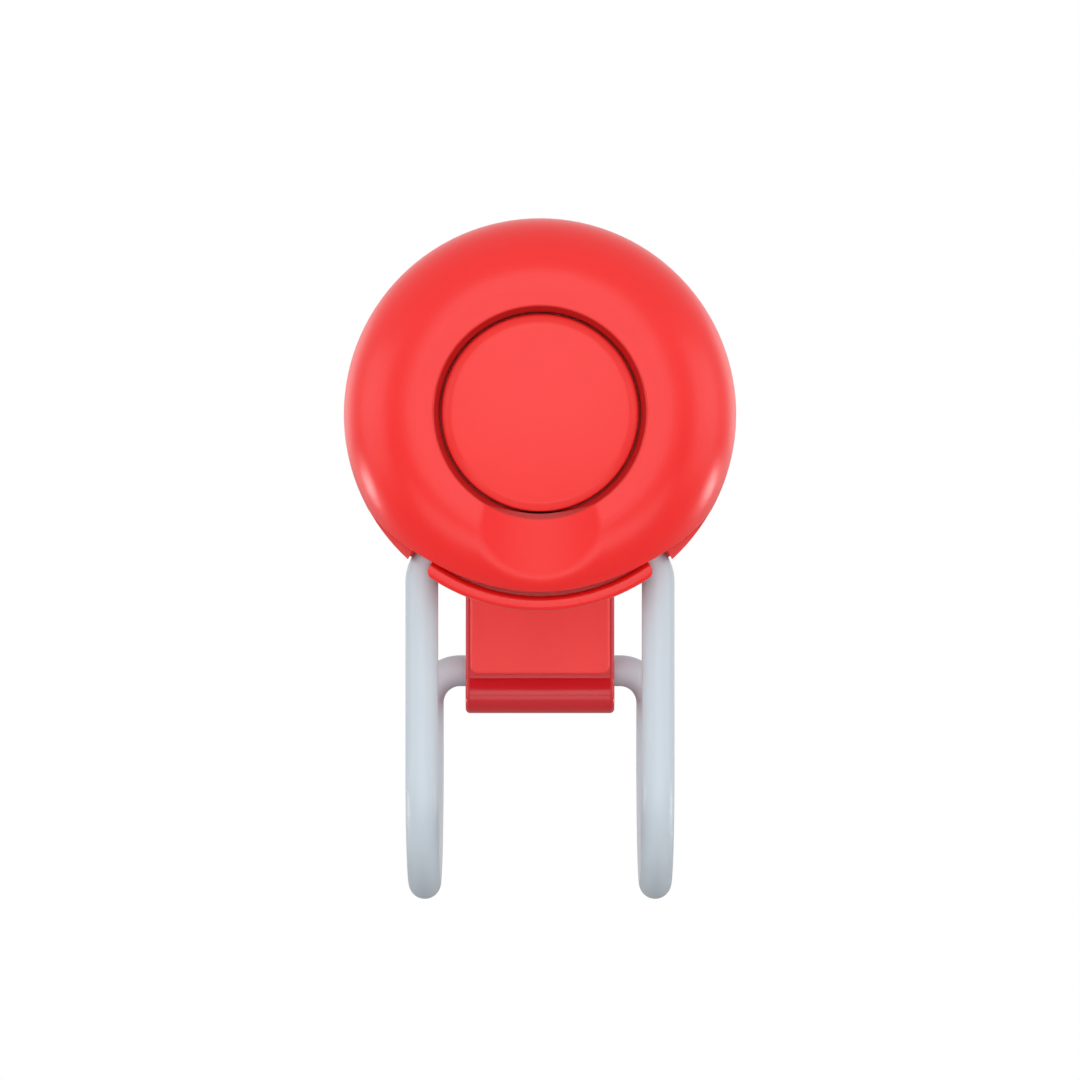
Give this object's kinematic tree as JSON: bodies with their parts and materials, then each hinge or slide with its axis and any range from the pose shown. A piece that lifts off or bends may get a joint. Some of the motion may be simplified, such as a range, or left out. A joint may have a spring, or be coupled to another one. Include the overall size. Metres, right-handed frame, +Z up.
{
  "type": "clip-on push-button metronome",
  "caption": "Round red push-button metronome puck with a sprung front button, hanging on a hinged wire loop whose rear section latches in a hook arm on the back.",
  "frame": {"origin": "on the axis of the bar that the wire loop hangs on, at the centre of its two U-bends and midway between them", "axes": "+X to the right across the front and along the bar, +Y from the button towards the back, +Z up along the legs of the loop"},
  "size_m": [0.05, 0.0502, 0.0882],
  "materials": {
    "red_shell": "satin",
    "red_button": "satin",
    "dark_red_arm": "glossy",
    "red_pad": "matt",
    "grey_wire": "satin",
    "spring_steel": "bright",
    "screw_steel": "bright",
    "green_board": "solder mask",
    "black_plastic": "matt",
    "white_plastic": "matt",
    "cell_steel": "bright",
    "clip_brass": "bright",
    "cone_paper": "matt",
    "magnet_steel": "plated",
    "foam": "foam"
  },
  "bodies": {
    "case": {"front_cover": "red_shell", "rear_cover": "red_shell", "bail_keeper": "red_shell", "hook_arm": "dark_red_arm", "grip_pad": "red_pad", "button_spring": "spring_steel", "tact_switch": "black_plastic", "circuit_board": "green_board", "controller_chip": "black_plastic", "cell_holder": "black_plastic", "coin_cell": "cell_steel", "cell_clip": "clip_brass", "speaker_gasket": "foam", "speaker_frame": "black_plastic", "speaker_cone": "cone_paper", "speaker_magnet": "magnet_steel", "case_screws": "screw_steel", "board_screws": "screw_steel", "keeper_screws": "screw_steel", "arm_screws": "screw_steel"},
    "bail": {"wire_bail": "grey_wire"},
    "button": {"push_button": "red_button", "switch_plunger": "white_plastic"}
  },
  "joints": [
    {"name": "bail_swing", "type": "hinge", "parent": "case", "child": "bail", "pos_m": [0, -0.0159, 0.02825], "axis": [1, 0, 0], "range_deg": [0, 45]},
    {"name": "button_press", "type": "slide", "parent": "case", "child": "button", "axis": [0, 1, 0], "range_m": [0, 0.0012], "stiffness_N_per_m": 500, "springref_m": -0.001, "deforming": ["button_spring"]}
  ]
}
